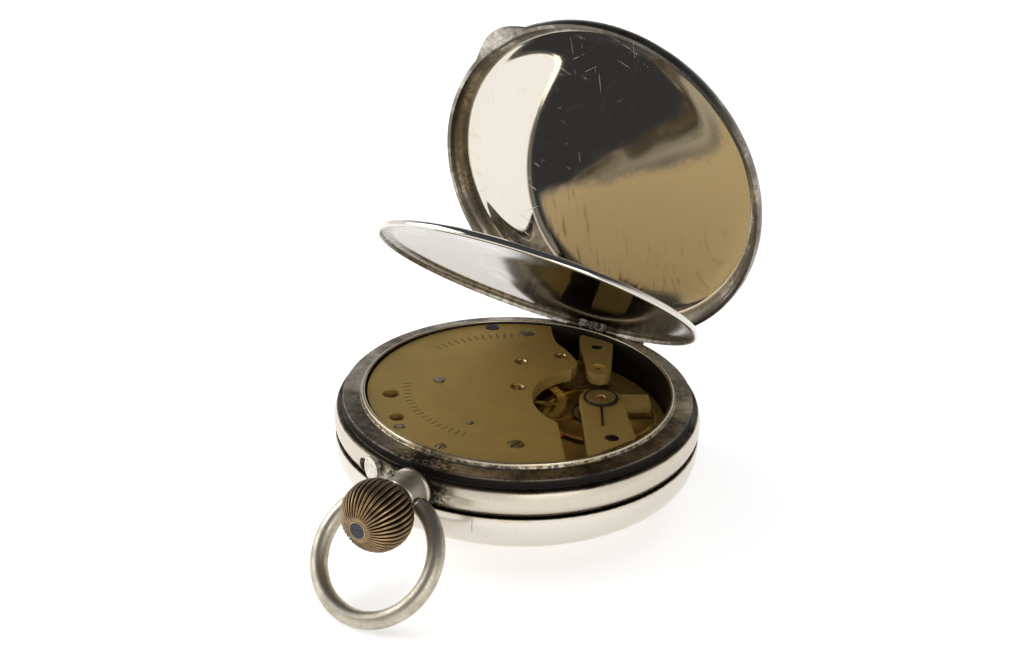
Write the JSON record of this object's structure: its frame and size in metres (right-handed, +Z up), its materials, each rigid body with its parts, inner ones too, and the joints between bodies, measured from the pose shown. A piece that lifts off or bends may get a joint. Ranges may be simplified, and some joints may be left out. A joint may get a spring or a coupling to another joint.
{
  "type": "hunter pocket watch",
  "caption": "Hunter-cased pocket watch lying face down, hinged back cover and inner cover open over a three-quarter-plate lever movement, with ribbed crown and bow.",
  "frame": {"origin": "centre of the flat rest face in the middle of the front lid", "axes": "+Z up out of the movement's back, -Y towards the pendant and crown, +Y towards the lid hinges"},
  "size_m": [0.05, 0.0669, 0.0623],
  "materials": {
    "case_silver": "polished silver with brown stains",
    "pendant_nickel": "worn satin",
    "crown_brass": "worn, dark grooves",
    "dark_steel": "darkened",
    "gilt_plate": "frosted gilding",
    "train_brass": "satin",
    "steel": "polished",
    "blued_steel": "blued",
    "balance_alloy": "polished, coppery",
    "enamel": "fired white enamel",
    "crystal_glass": "clear"
  },
  "bodies": {
    "case": {"case_centre": "case_silver", "pendant": "pendant_nickel", "bezel": "case_silver", "crystal": "crystal_glass", "back_cover_hinge_pin": "steel", "cuvette_hinge_pin": "steel", "front_lid_hinge_pin": "steel", "setting_pin_guard": "case_silver", "main_plate": "gilt_plate", "three_quarter_plate": "gilt_plate", "balance_cock": "gilt_plate", "escape_cock": "gilt_plate", "plate_screw_1": "steel", "plate_screw_2": "steel", "small_screw_1": "steel", "small_screw_2": "steel", "case_screw": "steel", "balance_cock_screw": "blued_steel", "escape_cock_screw": "blued_steel", "crown_wheel_stud": "steel", "click_stud": "steel", "dial": "enamel", "minute_wheel_stud": "steel"},
    "back_cover": {"back_cover": "case_silver"},
    "cuvette": {"cuvette": "case_silver"},
    "front_lid": {"front_lid": "case_silver"},
    "bow": {"bow": "pendant_nickel"},
    "stem_sleeve": {"stem_sleeve": "steel"},
    "crown": {"crown": "crown_brass", "crown_cap": "dark_steel", "winding_stem": "steel", "winding_pinion": "steel"},
    "lid_catch": {"lid_catch": "steel"},
    "setting_pin": {"setting_pin": "steel"},
    "crown_wheel": {"crown_wheel": "steel"},
    "ratchet": {"ratchet_wheel": "steel", "barrel_arbor": "steel"},
    "click": {"click": "steel"},
    "barrel": {"barrel": "train_brass", "barrel_cover": "train_brass", "mainspring": "blued_steel"},
    "centre_wheel": {"centre_wheel": "train_brass"},
    "third_wheel": {"third_wheel": "train_brass"},
    "fourth_wheel": {"fourth_wheel": "train_brass", "seconds_hand": "blued_steel"},
    "escape_wheel": {"escape_wheel": "train_brass"},
    "pallet_fork": {"pallet_fork": "steel"},
    "balance": {"balance_wheel": "balance_alloy", "hairspring": "blued_steel"},
    "regulator": {"regulator": "blued_steel"},
    "minute_hand": {"cannon_pinion": "steel", "minute_hand": "blued_steel"},
    "minute_wheel": {"minute_wheel": "train_brass"},
    "hour_hand": {"hour_wheel": "train_brass", "hour_hand": "blued_steel"}
  },
  "joints": [
    {"name": "back_cover_hinge", "type": "hinge", "parent": "case", "child": "back_cover", "pos_m": [0, 0.02469, 0.01363], "axis": [-1, 0, 0], "range_deg": [-78.4, 10]},
    {"name": "cuvette_hinge", "type": "hinge", "parent": "case", "child": "cuvette", "pos_m": [0, 0.02226, 0.01547], "axis": [-1, 0, 0], "range_deg": [-36.4, 5]},
    {"name": "front_lid_hinge", "type": "hinge", "parent": "case", "child": "front_lid", "pos_m": [0, 0.0248, 0.01005], "axis": [1, 0, 0], "range_deg": [0, 85]},
    {"name": "bow_swing", "type": "hinge", "parent": "case", "child": "bow", "pos_m": [0, -0.0278, 0.0123], "axis": [-1, 0, 0], "range_deg": [-45, 130]},
    {"name": "crown_push", "type": "slide", "parent": "case", "child": "stem_sleeve", "axis": [0, 1, 0], "range_m": [0, 0.0005], "stiffness_N_per_m": 1500, "springref_m": -0.0005},
    {"name": "crown_turn", "type": "hinge", "parent": "stem_sleeve", "child": "crown", "pos_m": [0, -0.0325, 0.0123], "axis": [0, -1, 0], "continuous": true},
    {"name": "lid_catch_slide", "type": "slide", "parent": "case", "child": "lid_catch", "axis": [0, 1, 0], "range_m": [0, 0.0005]},
    {"name": "setting_pin_push", "type": "slide", "parent": "case", "child": "setting_pin", "axis": [0.3502, 0.9367, 0], "range_m": [0, 0.0006], "stiffness_N_per_m": 800, "springref_m": -0.0004},
    {"name": "crown_wheel_turn", "type": "hinge", "parent": "case", "child": "crown_wheel", "pos_m": [0, -0.0122, 0.0108], "axis": [0, 0, 1], "continuous": true},
    {"name": "ratchet_turn", "type": "hinge", "parent": "case", "child": "ratchet", "pos_m": [-0.01008, -0.00432, 0.0108], "axis": [0, 0, 1], "continuous": true},
    {"name": "click_pivot", "type": "hinge", "parent": "case", "child": "click", "pos_m": [-0.01443, 0.00387, 0.0108], "axis": [0, 0, 1], "range_deg": [0, 5], "stiffness_Nm_per_rad": 0.0002},
    {"name": "barrel_turn", "type": "hinge", "parent": "case", "child": "barrel", "pos_m": [-0.01008, -0.00432, 0.012], "axis": [0, 0, 1], "continuous": true},
    {"name": "centre_wheel_turn", "type": "hinge", "parent": "case", "child": "centre_wheel", "pos_m": [0, 0, 0.013], "axis": [0, 0, 1], "continuous": true},
    {"name": "third_wheel_turn", "type": "hinge", "parent": "case", "child": "third_wheel", "pos_m": [-0.00356, 0.00688, 0.0113], "axis": [0, 0, 1], "continuous": true},
    {"name": "fourth_wheel_turn", "type": "hinge", "parent": "case", "child": "fourth_wheel", "pos_m": [0.00034, 0.01159, 0.0124], "axis": [0, 0, 1], "continuous": true},
    {"name": "escape_wheel_turn", "type": "hinge", "parent": "case", "child": "escape_wheel", "pos_m": [0.00613, 0.01195, 0.0113], "axis": [0, 0, 1], "continuous": true},
    {"name": "pallet_fork_rock", "type": "hinge", "parent": "case", "child": "pallet_fork", "pos_m": [0.00776, 0.00908, 0.0113], "axis": [0, 0, 1], "range_deg": [-4, 4]},
    {"name": "balance_swing", "type": "hinge", "parent": "case", "child": "balance", "pos_m": [0.01106, 0.00328, 0.0124], "axis": [0, 0, 1], "range_deg": [-270, 270], "stiffness_Nm_per_rad": 0.00000025, "deforming": ["hairspring"]},
    {"name": "regulator_turn", "type": "hinge", "parent": "case", "child": "regulator", "pos_m": [0.01106, 0.00328, 0.0153], "axis": [0, 0, 1], "range_deg": [-25, 25]},
    {"name": "minute_hand_turn", "type": "hinge", "parent": "case", "child": "minute_hand", "pos_m": [0, 0, 0.006], "axis": [0, 0, 1], "continuous": true},
    {"name": "minute_wheel_turn", "type": "hinge", "parent": "case", "child": "minute_wheel", "pos_m": [-0.0024, -0.0024, 0.008], "axis": [0, 0, 1], "continuous": true},
    {"name": "hour_hand_turn", "type": "hinge", "parent": "case", "child": "hour_hand", "pos_m": [0, 0, 0.007], "axis": [0, 0, 1], "continuous": true}
  ],
  "couplings": [
    {"joint": "cuvette_hinge", "follows": "back_cover_hinge", "ratio": 0.46429},
    {"joint": "lid_catch_slide", "follows": "crown_push", "ratio": 0.8},
    {"joint": "crown_wheel_turn", "follows": "crown_turn", "ratio": 0.2},
    {"joint": "ratchet_turn", "follows": "crown_turn", "ratio": -0.13333},
    {"joint": "centre_wheel_turn", "follows": "fourth_wheel_turn", "ratio": 0.016667},
    {"joint": "third_wheel_turn", "follows": "fourth_wheel_turn", "ratio": -0.13333},
    {"joint": "barrel_turn", "follows": "fourth_wheel_turn", "ratio": -0.0027778},
    {"joint": "escape_wheel_turn", "follows": "fourth_wheel_turn", "ratio": -10},
    {"joint": "minute_wheel_turn", "follows": "minute_hand_turn", "ratio": -0.33333},
    {"joint": "hour_hand_turn", "follows": "minute_hand_turn", "ratio": 0.083333}
  ]
}
